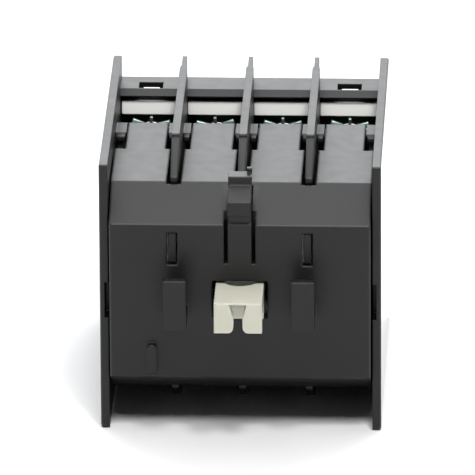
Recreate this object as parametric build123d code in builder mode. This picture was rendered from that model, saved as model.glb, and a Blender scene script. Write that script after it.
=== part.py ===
from build123d import *
import os
from math import cos, hypot, pi, sin, sqrt

# Front-mounting auxiliary contact block, four poles, 45 mm wide.
# The origin is the centre of the mounting face, on the axis of the contact carrier.
# X runs across the poles, +Y points from the mounting face to the front, +Z is up. Millimetres.

# Side plates and partition fins
block_width = 45.0
block_height = 45.5
plate_thickness = 1.4
plate_rear_y = 1.9
front_y = 50.75
plate_rear_corner = 1.0
plate_front_corner = 0.3
plate_edge_break = 0.25
side_room = 1.84
fin_thickness = 1.25
fin_tip_thickness = 0.75
fin_rear_y = 15.8
fin_taper_length = 1.2

# Shoulders on the fins and plates that key the rear cover
shoulder_width = 3.5
shoulder_y = 29.1
shoulder_length = 4.4
shoulder_height = 1.37
plate_shoulder_width = 1.7

# Tabs of the outer fins, seen in the mounting face
tab_low_z = 6.75
tab_height = 5.0
tab_recess = 0.5

# Snap notches in the rear edges of the side plates, and the snap pockets behind them
notch_low_z = -3.5
notch_height = 6.1
notch_depth_x = 0.6
notch_depth_y = 3.1
snap_y = 8.0
snap_length = 2.0
snap_reach = 0.5
snap_gap = 0.1

# Flats that stand for the roundness of small turned or pierced details
small_flats = 16

# Front wall and cross shelves
front_wall = 2.15
shelf_top_z = 19.0
shelf_thickness = 1.35
shelf_length = 5.35
shelf_slope_length = 1.35
shelf_slope_drop = 0.73
shelf_lip = 0.25
clip_window_width = 3.95
clip_window_length = 2.67
clip_window_margin = 0.2
clip_front_width = 2.7
clip_front_height = 1.2
clip_front_rise = 0.45
panel_recess = 0.4
panel_side = 3.5
panel_height = 11.0
panel_corner = 1.0

# Terminals
terminal_z = 10.2
driver_hole = 5.2
funnel_depth = 0.7
collar_wall = 1.2
collar_length = 2.2
support_thickness = 3.0
support_low_z = 8.1
support_top_z = 14.8
support_gap = 0.1
ledge_thickness = 1.35
ledge_length = 5.0
ledge_gap = 0.05

# Fixed contacts
pad_front_y = 40.0
pad_thickness = 1.2
pad_side_gap = 1.17
pad_top_z = 14.4
strip_thickness = 1.0
strip_width = 4.4
strip_low_z = 7.0
finger_low_z = 3.4
boss_diameter = 5.0
boss_length = 1.2
thread_clearance = 0.05
tip_width = 2.8
tip_height = 2.6
tip_thickness = 0.75
tip_z = 5.0
strip_bend = 0.8

# Clamp screws and washers, shown backed out as supplied
screw_diameter = 3.4
screw_length = 9.3
screw_chamfer = 0.5
screw_travel = 2.3
head_diameter = 6.2
head_height = 2.2
head_bevel = 0.5
head_flats = 20
slot_width = 0.9
slot_depth = 1.2
washer_gap = 0.1
washer_thickness = 0.85
washer_side_gap = 0.42
washer_low_z = 7.2
washer_shoulder_z = 13.2
washer_top_z = 15.1
washer_wing = 0.6
washer_wing_reach = 0.8
washer_groove_width = 0.9
washer_groove_depth = 0.25
washer_bore_clearance = 0.05
washer_head_gap = 0.05

# Label plates
label_low_z = 14.25
label_height = 2.22
label_fin_gap = 0.05
label_side_gap = 0.1
label_corner = 0.25
label_face_side = 0.27
label_face_height = 1.5
label_set_back = 0.1
label_fit = 0.05

# Rear cover
cover_side_gap = 0.25
cover_wall = 1.6
cover_side_wall = 1.0
face_top_z = 13.37
face_bottom_z = -12.75
slope_length = 8.0
deck_z = 17.67
deck_end_y = 33.5
face_edge_round = 0.45
slot_gap = 0.52
slot_start_y = 7.5
pocket_gap = 0.2
pocket_start_y = 22.0
mortise_gap = 0.25

# Actuator window in the mounting face
window_width = 8.86
window_low_z = -2.62
window_top_z = 3.85
window_corner = 0.35

# Mounting hooks
hook_x = 10.2
hook_width = 3.7
hook_reach = 6.0
hook_thickness = 1.9
hook_low_z = -2.32
hook_height = 8.36
hook_arm = 2.0
hook_lead = 0.8
hook_edge_round = 0.3

# Latch tongue
tongue_width = 3.75
tongue_slit = 0.65
tongue_root_z = 6.78
tongue_thickness = 1.25
tongue_relief = 0.4
nose_reach = 1.0
nose_low_z = 15.25
nose_height = 2.4
ramp_length = 3.5
ramp_rise = 1.68
release_rise = 1.37
release_length = 2.5
release_thickness = 1.2
release_lug = 0.8

# Coding nub
nub_x = -14.09
nub_width = 1.59
nub_height = 4.2
nub_reach = 1.0

# Contact carrier
fork_reach = 8.4
fork_width = 7.64
fork_low_z = -1.79
fork_height = 5.16
leg_thickness = 1.8
fork_gap = 4.5
fork_roof = 1.47
cheek_thickness = 0.9
cheek_height = 1.5
fork_slot = 1.48
fork_slot_rise = 2.54
fork_slot_top = 2.85
fork_slot_roof = 0.27
leg_round = 1.07
dish_width = 4.9
dish_depth = 1.2
dish_sagitta = 1.25
dish_front_y = -0.95
dish_end_y = 9.0
fork_edge_round = 0.2
beam_thickness = 3.0
beam_rear_y = 12.5
beam_front_y = 34.0
beam_end_gap = 0.35
slide_gap = 0.4
stop_gap = 0.05
plunger_width = 6.0
plunger_gap = 0.3
plunger_set_back = 0.3
bridge_side_gap = 0.3

# Bridge contacts and their springs
bridge_width = 4.0
bridge_thickness = 0.9
bridge_length = 13.2
bridge_corner = 0.6
bridge_rear_y = 23.1
bridge_seat_gap = 0.05
contact_gap = 4.6
closed_gap = 0.05
contact_spring_length = 6.4
contact_spring_diameter = 3.4
contact_spring_wire = 0.45
contact_spring_turns = 4
return_spring_x = 7.0
return_spring_diameter = 4.2
return_spring_wire = 0.5
return_spring_turns = 5
runs_per_turn = 8
spring_pin_gap = 0.25
spring_pin_length = 1.4
spring_seat_gap = 0.05

# Values that follow from the sizes above
half_width = block_width / 2
half_height = block_height / 2
plate_inner_x = half_width - plate_thickness
pole_pitch = (block_width - side_room) / 4
well_width = pole_pitch - fin_thickness
fin_places = [-pole_pitch, 0, pole_pitch]
pole_places = [-1.5 * pole_pitch, -0.5 * pole_pitch, 0.5 * pole_pitch, 1.5 * pole_pitch]
wall_inner_y = front_y - front_wall
shelf_rear_y = front_y - shelf_length
shelf_under_z = shelf_top_z - shelf_thickness
shelf_lip_y = shelf_rear_y - shelf_slope_length
shelf_lip_z = shelf_top_z - shelf_slope_drop
panel_width = block_width - 2 * panel_side
pad_width = well_width - 2 * pad_side_gap
washer_width = well_width - 2 * washer_side_gap
pad_rear_y = pad_front_y - pad_thickness
support_rear_y = pad_rear_y - support_thickness
support_slot = boss_diameter + 2 * support_gap
strip_top_z = strip_low_z + strip_thickness
beam_half = beam_thickness / 2
slot_half = beam_half + slide_gap
cover_half = plate_inner_x - cover_side_gap
cover_inner_x = cover_half - cover_side_wall
beam_end_x = cover_inner_x - beam_end_gap
thread_bore = screw_diameter + 2 * thread_clearance
collar_width = driver_hole + 2 * collar_wall
label_centre_z = label_low_z + label_height / 2
label_rear_y = shelf_rear_y + fin_taper_length + label_fin_gap
label_face_width = well_width - 2 * label_face_side
washer_rear_y = pad_front_y + screw_travel + washer_gap
washer_front_y = washer_rear_y + washer_thickness
head_rear_y = washer_front_y + washer_head_gap
open_finger_y = bridge_rear_y - contact_gap - 2 * tip_thickness
closed_finger_y = bridge_rear_y + bridge_thickness + 2 * tip_thickness + closed_gap
bridge_front_y = bridge_rear_y + bridge_thickness
open_poles = (1, 4)


def rear_plane(y):
    """Plane at depth y whose sketch axes are X and Z; a negative extrusion goes to the front."""
    return Plane.XZ.offset(-y)


def side_plane(x):
    """Plane at x whose sketch axes are Y and Z; a positive extrusion goes to +X."""
    return Plane.YZ.offset(x)


def yz_box(y0, y1, z0, z1):
    """Rectangle between two depths and two heights, inside a side plane sketch."""
    with Locations(((y0 + y1) / 2, (z0 + z1) / 2)):
        Rectangle(y1 - y0, abs(z1 - z0))


def xz_box(x0, x1, z0, z1):
    """Rectangle between two widths and two heights, inside a rear plane sketch."""
    with Locations(((x0 + x1) / 2, (z0 + z1) / 2)):
        Rectangle(x1 - x0, z1 - z0)


def coil_points(x, y0, y1, diameter, wire, turns):
    """Corners of a wire coil along Y between two depths, as a chain of short straight runs."""
    radius = (diameter - wire) / 2
    runs = runs_per_turn * turns
    rise = (y1 - y0 - wire) / runs
    return [
        (
            x + radius * cos(2 * pi * run / runs_per_turn),
            y0 + wire / 2 + run * rise,
            radius * sin(2 * pi * run / runs_per_turn),
        )
        for run in range(runs + 1)
    ]


def save(part, name):
    """Label a finished piece and write its file."""
    part.label = name
    export_step(part, f"parts/{name}.step")


os.makedirs("parts", exist_ok=True)

# Front housing: plates, fins, front wall, shelves and terminal supports in one moulding
with BuildPart() as front_housing:
    # Right side plate with rounded corners, then its mirror image
    with BuildSketch(side_plane(plate_inner_x)) as plate_outline:
        yz_box(plate_rear_y, front_y, -half_height, half_height)
        fillet(plate_outline.vertices().group_by(Axis.Y)[0], plate_rear_corner)
        fillet(plate_outline.vertices().group_by(Axis.Y)[-1], plate_front_corner)
    extrude(amount=plate_thickness)
    chamfer(front_housing.faces().sort_by(Axis.X)[-1].edges(), plate_edge_break)
    # Shoulders of the plate, above and below
    with BuildSketch(side_plane(plate_inner_x - plate_shoulder_width)):
        for side in (1, -1):
            yz_box(shoulder_y, shoulder_y + shoulder_length, side * deck_z, side * (deck_z - shoulder_height))
    extrude(amount=plate_shoulder_width)
    # Snap notch in the rear edge and the pocket for the cover's catch
    with BuildSketch(side_plane(plate_inner_x)):
        yz_box(plate_rear_y, plate_rear_y + notch_depth_y, notch_low_z, notch_low_z + notch_height)
    extrude(amount=notch_depth_x, mode=Mode.SUBTRACT)
    with BuildSketch(side_plane(plate_inner_x)):
        yz_box(
            snap_y - snap_gap,
            snap_y + snap_length + snap_gap,
            notch_low_z - snap_gap,
            notch_low_z + notch_height + snap_gap,
        )
    extrude(amount=snap_reach, mode=Mode.SUBTRACT)
    mirror(about=Plane.YZ)

    # Partition fins with their thin front ends and the shoulders that key the cover
    for x in fin_places:
        with BuildSketch(side_plane(x - fin_thickness / 2)) as fin_outline:
            yz_box(fin_rear_y, front_y, -half_height, half_height)
            fillet(fin_outline.vertices().group_by(Axis.Y)[0], plate_rear_corner)
            fillet(fin_outline.vertices().group_by(Axis.Y)[-1], plate_front_corner)
        extrude(amount=fin_thickness)
        with BuildSketch(Plane.XY.offset(-half_height)):
            for side in (1, -1):
                thick_x = x + side * fin_thickness / 2
                thin_x = x + side * fin_tip_thickness / 2
                with BuildLine():
                    Polyline(
                        (thick_x, shelf_rear_y),
                        (thin_x, shelf_rear_y + fin_taper_length),
                        (thin_x, front_y),
                        (thick_x, front_y),
                        close=True,
                    )
                make_face()
        extrude(amount=block_height, mode=Mode.SUBTRACT)
        with BuildSketch(side_plane(x - shoulder_width / 2)):
            for side in (1, -1):
                yz_box(shoulder_y, shoulder_y + shoulder_length, side * deck_z, side * (deck_z - shoulder_height))
        extrude(amount=shoulder_width)

    # Tabs of the outer fins that reach the mounting face
    for x in (-pole_pitch, pole_pitch):
        with BuildSketch(side_plane(x - fin_thickness / 2)):
            yz_box(tab_recess, fin_rear_y + fin_thickness, tab_low_z, tab_low_z + tab_height)
        extrude(amount=fin_thickness)

    # Front wall with the two cross shelves, whose rear edges slope down as wire funnels
    with BuildSketch(side_plane(0)):
        yz_box(wall_inner_y, front_y, -shelf_top_z, shelf_top_z)
        for side in (1, -1):
            with BuildLine():
                Polyline(
                    (front_y, side * shelf_top_z),
                    (shelf_rear_y, side * shelf_top_z),
                    (shelf_lip_y, side * shelf_lip_z),
                    (shelf_lip_y, side * (shelf_lip_z - shelf_lip)),
                    (shelf_rear_y, side * shelf_under_z),
                    (front_y, side * shelf_under_z),
                    close=True,
                )
            make_face()
    extrude(amount=plate_inner_x, both=True)

    # Terminal supports and the ledges under the contact strips
    with BuildSketch(side_plane(0)):
        for side in (1, -1):
            ledge_top_z = strip_low_z - ledge_gap
            yz_box(support_rear_y, pad_rear_y, side * support_low_z, side * support_top_z)
            yz_box(
                pad_rear_y - ledge_length,
                pad_rear_y,
                side * (ledge_top_z - ledge_thickness),
                side * ledge_top_z,
            )
    extrude(amount=plate_inner_x, both=True)

    # Square collars round the screwdriver holes
    with BuildSketch(rear_plane(wall_inner_y - collar_length)):
        with Locations([(x, side * terminal_z) for x in pole_places for side in (1, -1)]):
            Rectangle(collar_width, collar_width)
    extrude(amount=-collar_length)

    # Slot for the carrier through the fins, open to the rear
    with BuildSketch(side_plane(-pole_pitch - fin_thickness)):
        yz_box(fin_rear_y, beam_front_y + stop_gap, -slot_half, slot_half)
    extrude(amount=2 * (pole_pitch + fin_thickness), mode=Mode.SUBTRACT)
    # The middle fin stays open up to the front wall, where the plunger shows in its window
    with BuildSketch(side_plane(-fin_thickness / 2)):
        yz_box(beam_front_y, wall_inner_y, -slot_half, slot_half)
    extrude(amount=fin_thickness, mode=Mode.SUBTRACT)
    with BuildSketch(rear_plane(wall_inner_y)):
        Rectangle(plunger_width + 2 * plunger_gap, beam_thickness + 2 * plunger_gap)
    extrude(amount=-front_wall, mode=Mode.SUBTRACT)

    # Shallow panel on the front
    with BuildSketch(rear_plane(front_y)):
        RectangleRounded(panel_width, panel_height, panel_corner)
    extrude(amount=panel_recess, mode=Mode.SUBTRACT)

    # Screwdriver holes with their funnels
    terminal_places = [(x, side * terminal_z) for x in pole_places for side in (1, -1)]
    with BuildSketch(rear_plane(front_y)):
        with Locations(terminal_places):
            Circle(driver_hole / 2)
    extrude(amount=front_wall + collar_length, mode=Mode.SUBTRACT)
    hole_mouths = front_housing.edges().filter_by(GeomType.CIRCLE).filter_by(
        lambda edge: abs(edge.center().Y - front_y) < funnel_depth and edge.radius * 2 == driver_hole
    )
    chamfer(hole_mouths, funnel_depth)

    # Slots of the supports, open outwards, that take the contact's boss and the screw's end
    for side in (1, -1):
        with BuildSketch(Plane.XY.offset(side * support_top_z)):
            with Locations([(x, pad_rear_y - support_thickness / 2) for x in pole_places]):
                Rectangle(support_slot, support_thickness)
        extrude(amount=-side * (support_top_z - support_low_z), mode=Mode.SUBTRACT)

    # Label windows
    with BuildSketch(rear_plane(front_y)):
        with Locations([(x, side * label_centre_z) for x in pole_places for side in (1, -1)]):
            Rectangle(label_face_width + 2 * label_fit, label_face_height + 2 * label_fit)
    extrude(amount=front_wall, mode=Mode.SUBTRACT)

    # Clip windows of the outer poles: down through the shelf and out through the front
    window_y = shelf_rear_y + clip_window_margin
    clip_high_z = shelf_under_z + clip_front_rise
    for x in (pole_places[0], pole_places[-1]):
        with BuildSketch(side_plane(x - clip_window_width / 2)):
            for side in (1, -1):
                yz_box(window_y, window_y + clip_window_length, side * shelf_under_z, side * shelf_top_z)
        extrude(amount=clip_window_width, mode=Mode.SUBTRACT)
        with BuildSketch(side_plane(x - clip_front_width / 2)):
            for side in (1, -1):
                yz_box(
                    window_y + clip_window_length / 2,
                    front_y,
                    side * (clip_high_z - clip_front_height),
                    side * clip_high_z,
                )
        extrude(amount=clip_front_width, mode=Mode.SUBTRACT)
save(front_housing.part, "front_housing")

# Rear cover: mounting face, slopes, decks, hooks, latch tongue and nub in one moulding
slope = (deck_z - face_top_z) / slope_length
slope_low = (deck_z + face_bottom_z) / slope_length
inner_deck_z = deck_z - cover_wall
inner_top_z = face_top_z + slope * cover_wall - cover_wall * hypot(1, slope)
inner_bottom_z = face_bottom_z - slope_low * cover_wall + cover_wall * hypot(1, slope_low)
inner_slope_y = cover_wall + (inner_deck_z - inner_top_z) / slope
inner_slope_low_y = cover_wall + (inner_deck_z + inner_bottom_z) / slope_low
with BuildPart() as rear_cover:
    with BuildSketch(side_plane(-cover_half)):
        with BuildLine():
            Polyline(
                (0, face_bottom_z),
                (0, face_top_z),
                (slope_length, deck_z),
                (deck_end_y, deck_z),
                (deck_end_y, -deck_z),
                (slope_length, -deck_z),
                close=True,
            )
        make_face()
    extrude(amount=2 * cover_half)
    fillet(rear_cover.faces().sort_by(Axis.Y)[0].edges(), face_edge_round)
    with BuildSketch(side_plane(-cover_inner_x)):
        with BuildLine():
            Polyline(
                (cover_wall, inner_bottom_z),
                (cover_wall, inner_top_z),
                (inner_slope_y, inner_deck_z),
                (deck_end_y, inner_deck_z),
                (deck_end_y, -inner_deck_z),
                (inner_slope_low_y, -inner_deck_z),
                close=True,
            )
        make_face()
    extrude(amount=2 * cover_inner_x, mode=Mode.SUBTRACT)

    # Slots of the decks that slide over the fins, and pockets that take the shoulders
    pocket_inner_x = plate_inner_x - plate_shoulder_width - pocket_gap
    for side in (1, -1):
        with BuildSketch(Plane.XY.offset(side * deck_z)):
            for x in fin_places:
                with Locations((x, (slot_start_y + deck_end_y) / 2)):
                    Rectangle(fin_thickness + 2 * slot_gap, deck_end_y - slot_start_y)
                with Locations((x, (pocket_start_y + deck_end_y) / 2)):
                    Rectangle(shoulder_width + 2 * pocket_gap, deck_end_y - pocket_start_y)
            for edge in (1, -1):
                with Locations((edge * (pocket_inner_x + cover_half) / 2, (pocket_start_y + deck_end_y) / 2)):
                    Rectangle(cover_half - pocket_inner_x, deck_end_y - pocket_start_y)
        extrude(amount=-side * (cover_wall + pocket_gap), mode=Mode.SUBTRACT)

    # Actuator window, and mortises for the tabs of the outer fins
    with BuildSketch(rear_plane(0)):
        with Locations((0, (window_low_z + window_top_z) / 2)):
            RectangleRounded(window_width, window_top_z - window_low_z, window_corner)
        with Locations([(x, tab_low_z + tab_height / 2) for x in (-pole_pitch, pole_pitch)]):
            Rectangle(fin_thickness + 2 * mortise_gap, tab_height + 2 * mortise_gap)
    extrude(amount=-cover_wall, mode=Mode.SUBTRACT)

    # Opening round the latch tongue
    with BuildSketch(rear_plane(0)):
        xz_box(-tongue_width / 2 - tongue_slit, tongue_width / 2 + tongue_slit, tongue_root_z, deck_z)
    extrude(amount=-slot_start_y, mode=Mode.SUBTRACT)

    # Latch tongue: flat leaf, catch nose, ramp and release tab
    ridge_z = nose_low_z + nose_height
    ramp_end_y = ramp_length - nose_reach
    ramp_top_z = ridge_z + ramp_rise
    release_z = ramp_top_z + release_rise
    release_end_y = ramp_end_y + release_length
    with BuildSketch(side_plane(-tongue_width / 2)):
        with BuildLine():
            Polyline(
                (0, tongue_root_z - tongue_thickness),
                (0, face_top_z),
                (tongue_relief, face_top_z + tongue_relief),
                (tongue_relief, nose_low_z),
                (-nose_reach, nose_low_z),
                (-nose_reach, ridge_z),
                (ramp_end_y, ramp_top_z),
                (ramp_end_y, release_z),
                (release_end_y, release_z),
                (release_end_y, release_z - release_thickness),
                (ramp_end_y + tongue_thickness, release_z - release_thickness),
                (tongue_thickness + tongue_relief, ridge_z - tongue_thickness / 2),
                (tongue_thickness, face_top_z),
                (tongue_thickness, tongue_root_z - tongue_thickness),
                close=True,
            )
        make_face()
    extrude(amount=tongue_width)
    # Upright lug at the right end of the release tab
    with BuildSketch(Plane.XY.offset(release_z - release_thickness)):
        with Locations(((tongue_width - release_lug) / 2, release_end_y - release_lug / 2)):
            Rectangle(release_lug, release_lug)
    extrude(amount=release_thickness + release_lug)

    # Mounting hooks, open upwards, with a lead on the inner side of the tip
    hook_top_z = hook_low_z + hook_height
    hook_inner_y = hook_thickness - hook_reach
    for x in (-hook_x, hook_x):
        with BuildSketch(side_plane(x - hook_width / 2)) as hook_outline:
            with BuildLine():
                Polyline(
                    (cover_wall / 2, hook_low_z),
                    (cover_wall / 2, hook_low_z + hook_arm),
                    (hook_inner_y, hook_low_z + hook_arm),
                    (hook_inner_y, hook_top_z - hook_lead),
                    (hook_inner_y - hook_lead / 2, hook_top_z),
                    (-hook_reach, hook_top_z),
                    (-hook_reach, hook_low_z),
                    close=True,
                )
            make_face()
            fillet(hook_outline.vertices().group_by(Axis.Y)[0], hook_edge_round)
        extrude(amount=hook_width)

    # Coding nub with a rounded top
    with BuildSketch(rear_plane(cover_wall / 2)):
        with Locations((nub_x, face_bottom_z + cover_wall / 2 + nub_height / 2)):
            Rectangle(nub_width, nub_height)
        with Locations((nub_x, face_bottom_z + cover_wall / 2 + nub_height)):
            Circle(nub_width / 2)
    extrude(amount=nub_reach + cover_wall / 2)

    # Pins that centre the return springs
    return_pin = return_spring_diameter / 2 - return_spring_wire - spring_pin_gap
    with BuildSketch(rear_plane(cover_wall)):
        with Locations([(x, 0) for x in (-return_spring_x, return_spring_x)]):
            RegularPolygon(return_pin, small_flats)
    extrude(amount=-spring_pin_length)

    # Catches on the side walls that snap into the pockets of the plates
    for edge in (1, -1):
        with BuildSketch(Plane.XY.offset(notch_low_z)):
            with BuildLine():
                Polyline(
                    (edge * (cover_half - cover_side_wall / 2), snap_y),
                    (edge * cover_half, snap_y),
                    (edge * (cover_half + snap_reach), snap_y),
                    (edge * (cover_half + snap_reach), snap_y + snap_reach),
                    (edge * cover_half, snap_y + snap_length),
                    (edge * (cover_half - cover_side_wall / 2), snap_y + snap_length),
                    close=True,
                )
            make_face()
        extrude(amount=notch_height)
save(rear_cover.part, "rear_cover")

# Contact carrier: fork, neck, beam with bridge windows, spring pins and front plunger
fork_top_z = fork_low_z + fork_height
cavity_y = leg_thickness - fork_reach
web_y = cavity_y + fork_gap
spring_window = contact_spring_length + 2 * spring_seat_gap
window_half = bridge_width / 2 + bridge_side_gap
with BuildPart() as contact_carrier:
    # Fork head and neck
    with BuildSketch(side_plane(-fork_width / 2)) as fork_outline:
        yz_box(-fork_reach, beam_rear_y, fork_low_z, fork_top_z)
        fillet(fork_outline.vertices().group_by(Axis.Y)[0], fork_edge_round)
    extrude(amount=fork_width)
    # Cavity that takes the head of the contactor's drive, open downwards
    with BuildSketch(side_plane(-fork_width / 2)):
        yz_box(cavity_y, web_y, fork_low_z, fork_top_z - fork_roof - cheek_height)
    extrude(amount=fork_width, mode=Mode.SUBTRACT)
    with BuildSketch(side_plane(cheek_thickness - fork_width / 2)):
        yz_box(cavity_y, web_y, fork_low_z, fork_top_z - fork_roof)
    extrude(amount=fork_width - 2 * cheek_thickness, mode=Mode.SUBTRACT)
    # Slot between the legs: rounded at the foot, wider towards the roof
    slot_edge = fork_slot / 2
    foot_turn = leg_round * (1 - sqrt(0.5))
    with BuildSketch(rear_plane(-fork_reach)):
        with BuildLine():
            Polyline(
                (-slot_edge, fork_low_z + leg_round),
                (-slot_edge, fork_low_z + fork_slot_rise),
                (-fork_slot_top / 2, fork_top_z - fork_slot_roof),
                (fork_slot_top / 2, fork_top_z - fork_slot_roof),
                (slot_edge, fork_low_z + fork_slot_rise),
                (slot_edge, fork_low_z + leg_round),
            )
            for edge in (1, -1):
                ThreePointArc(
                    (edge * slot_edge, fork_low_z + leg_round),
                    (edge * (slot_edge + foot_turn), fork_low_z + foot_turn),
                    (edge * (slot_edge + leg_round), fork_low_z),
                )
            Line((-slot_edge - leg_round, fork_low_z), (slot_edge + leg_round, fork_low_z))
        make_face()
    extrude(amount=-leg_thickness, mode=Mode.SUBTRACT)
    # Shallow dish in the top of the neck
    with BuildSketch(Plane.XY.offset(fork_top_z)):
        with BuildLine():
            ThreePointArc(
                (-dish_width / 2, dish_front_y + dish_sagitta),
                (0, dish_front_y),
                (dish_width / 2, dish_front_y + dish_sagitta),
            )
            Polyline(
                (dish_width / 2, dish_front_y + dish_sagitta),
                (dish_width / 2, dish_end_y),
                (-dish_width / 2, dish_end_y),
                (-dish_width / 2, dish_front_y + dish_sagitta),
            )
        make_face()
    extrude(amount=-dish_depth, mode=Mode.SUBTRACT)

    # Beam across the four poles, and the plunger that shows in the front
    with BuildSketch(Plane.XY.offset(-beam_half)):
        with Locations((0, (beam_rear_y + beam_front_y) / 2)):
            Rectangle(2 * beam_end_x, beam_front_y - beam_rear_y)
        plunger_end_y = front_y - plunger_set_back
        with Locations((0, (beam_front_y + plunger_end_y) / 2)):
            Rectangle(plunger_width, plunger_end_y - beam_front_y)
    extrude(amount=beam_thickness)

    # Bridge windows: the spring lies in front of an open contact and behind a closed one
    with BuildSketch(Plane.XY.offset(-beam_half)):
        for pole, x in enumerate(pole_places, 1):
            if pole in open_poles:
                y0 = bridge_rear_y - bridge_seat_gap
                y1 = bridge_front_y + spring_window
            else:
                y0 = bridge_rear_y - spring_window
                y1 = bridge_front_y + bridge_seat_gap
            with Locations((x, (y0 + y1) / 2)):
                Rectangle(2 * window_half, y1 - y0)
    extrude(amount=beam_thickness, mode=Mode.SUBTRACT)

    # Pins that centre the contact springs
    contact_pin = contact_spring_diameter / 2 - contact_spring_wire - spring_pin_gap
    for pole, x in enumerate(pole_places, 1):
        if pole in open_poles:
            pin_plane = rear_plane(bridge_front_y + spring_window)
            pin_length = spring_pin_length
        else:
            pin_plane = rear_plane(bridge_rear_y - spring_window)
            pin_length = -spring_pin_length
        with BuildSketch(pin_plane):
            with Locations((x, 0)):
                RegularPolygon(contact_pin, small_flats)
        extrude(amount=pin_length)

    # Pins that centre the return springs
    with BuildSketch(rear_plane(beam_rear_y)):
        with Locations([(x, 0) for x in (-return_spring_x, return_spring_x)]):
            RegularPolygon(min(return_pin, beam_half), small_flats)
    extrude(amount=spring_pin_length)
save(contact_carrier.part, "contact_carrier")

# Bridge contacts with a silver tip at each end
for pole, x in enumerate(pole_places, 1):
    tip_side = 1 if pole in open_poles else -1
    tip_plane = rear_plane(bridge_rear_y if pole in open_poles else bridge_front_y)
    with BuildPart() as bridge_contact:
        with BuildSketch(rear_plane(bridge_rear_y)) as bridge_outline:
            with Locations((x, 0)):
                Rectangle(bridge_width, bridge_length)
            chamfer(bridge_outline.vertices(), bridge_corner)
        extrude(amount=-bridge_thickness)
        with BuildSketch(tip_plane):
            with Locations((x, tip_z), (x, -tip_z)):
                Rectangle(tip_width, tip_height)
        extrude(amount=tip_side * tip_thickness)
    save(bridge_contact.part, f"bridge_contact_{pole}")

# Springs of the bridge contacts, and return springs between the cover and the beam
springs = []
for pole, x in enumerate(pole_places, 1):
    if pole in open_poles:
        y0 = bridge_front_y + spring_seat_gap
    else:
        y0 = bridge_rear_y - spring_seat_gap - contact_spring_length
    y1 = y0 + contact_spring_length
    shape = (contact_spring_diameter, contact_spring_wire, contact_spring_turns)
    springs.append((f"contact_spring_{pole}", x, y0, y1, shape))
for hand, x in (("left", -return_spring_x), ("right", return_spring_x)):
    y0 = cover_wall + spring_seat_gap
    y1 = beam_rear_y - spring_seat_gap
    shape = (return_spring_diameter, return_spring_wire, return_spring_turns)
    springs.append((f"return_spring_{hand}", x, y0, y1, shape))
for name, x, y0, y1, shape in springs:
    with BuildPart() as spring:
        with BuildLine():
            path = Polyline(*coil_points(x, y0, y1, *shape))
        with BuildSketch(Plane(path @ 0, z_dir=path % 0)):
            Rectangle(shape[1], shape[1])
        sweep(path=path, transition=Transition.RIGHT)
    save(spring.part, name)

# Fixed contacts: terminal pad, strip, finger and tip, one above and one below each bridge
for pole, x in enumerate(pole_places, 1):
    finger_y = open_finger_y if pole in open_poles else closed_finger_y
    if pole in open_poles:
        finger_front_y = finger_y
        tip_plane = rear_plane(finger_front_y)
        strip_end_y = finger_front_y - strip_thickness
        tip_amount = -tip_thickness
    else:
        strip_end_y = finger_y
        finger_front_y = strip_end_y + strip_thickness
        tip_plane = rear_plane(strip_end_y)
        tip_amount = tip_thickness
    for place, side in (("top", 1), ("bottom", -1)):
        with BuildPart() as fixed_contact:
            with BuildSketch(side_plane(x - strip_width / 2)) as strip_outline:
                with BuildLine():
                    Polyline(
                        (pad_front_y, side * strip_low_z),
                        (finger_front_y, side * strip_low_z),
                        (finger_front_y, side * finger_low_z),
                        (strip_end_y, side * finger_low_z),
                        (strip_end_y, side * strip_top_z),
                        (pad_rear_y, side * strip_top_z),
                        (pad_rear_y, side * support_low_z),
                        (pad_front_y, side * support_low_z),
                        close=True,
                    )
                make_face()
                fillet(
                    strip_outline.vertices().sort_by_distance((x, strip_end_y, side * strip_top_z))[0], strip_bend
                )
            extrude(amount=strip_width)
            with BuildSketch(rear_plane(pad_rear_y)) as pad_outline:
                with Locations((x, side * (strip_low_z + pad_top_z) / 2)):
                    Rectangle(pad_width, pad_top_z - strip_low_z)
                chamfer(pad_outline.vertices(), strip_bend)
            extrude(amount=-pad_thickness)
            with BuildSketch(rear_plane(pad_rear_y)):
                with Locations((x, side * terminal_z)):
                    RegularPolygon(boss_diameter / 2, small_flats)
            extrude(amount=boss_length)
            with BuildSketch(rear_plane(pad_front_y)):
                with Locations((x, side * terminal_z)):
                    RegularPolygon(thread_bore / 2, small_flats, major_radius=False)
            extrude(amount=pad_thickness + boss_length, mode=Mode.SUBTRACT)
            with BuildSketch(tip_plane):
                with Locations((x, side * tip_z)):
                    Rectangle(tip_width, tip_height)
            extrude(amount=tip_amount)
        save(fixed_contact.part, f"fixed_contact_{pole}_{place}")

# Terminal screws with a slot, turned faces kept to flats
for pole, x in enumerate(pole_places, 1):
    for place, side in (("top", 1), ("bottom", -1)):
        with BuildPart() as terminal_screw:
            with BuildSketch(rear_plane(head_rear_y)):
                with Locations((x, side * terminal_z)):
                    RegularPolygon(head_diameter / 2, head_flats)
            extrude(amount=-head_height)
            chamfer(terminal_screw.faces().sort_by(Axis.Y)[-1].edges(), head_bevel)
            with BuildSketch(rear_plane(head_rear_y)):
                with Locations((x, side * terminal_z)):
                    RegularPolygon(screw_diameter / 2, small_flats)
            extrude(amount=screw_length)
            chamfer(terminal_screw.faces().sort_by(Axis.Y)[0].edges(), screw_chamfer)
            with BuildSketch(rear_plane(head_rear_y + head_height)):
                with Locations((x, side * terminal_z)):
                    Rectangle(head_diameter, slot_width)
            extrude(amount=slot_depth, mode=Mode.SUBTRACT)
        save(terminal_screw.part, f"terminal_screw_{pole}_{place}")

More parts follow.
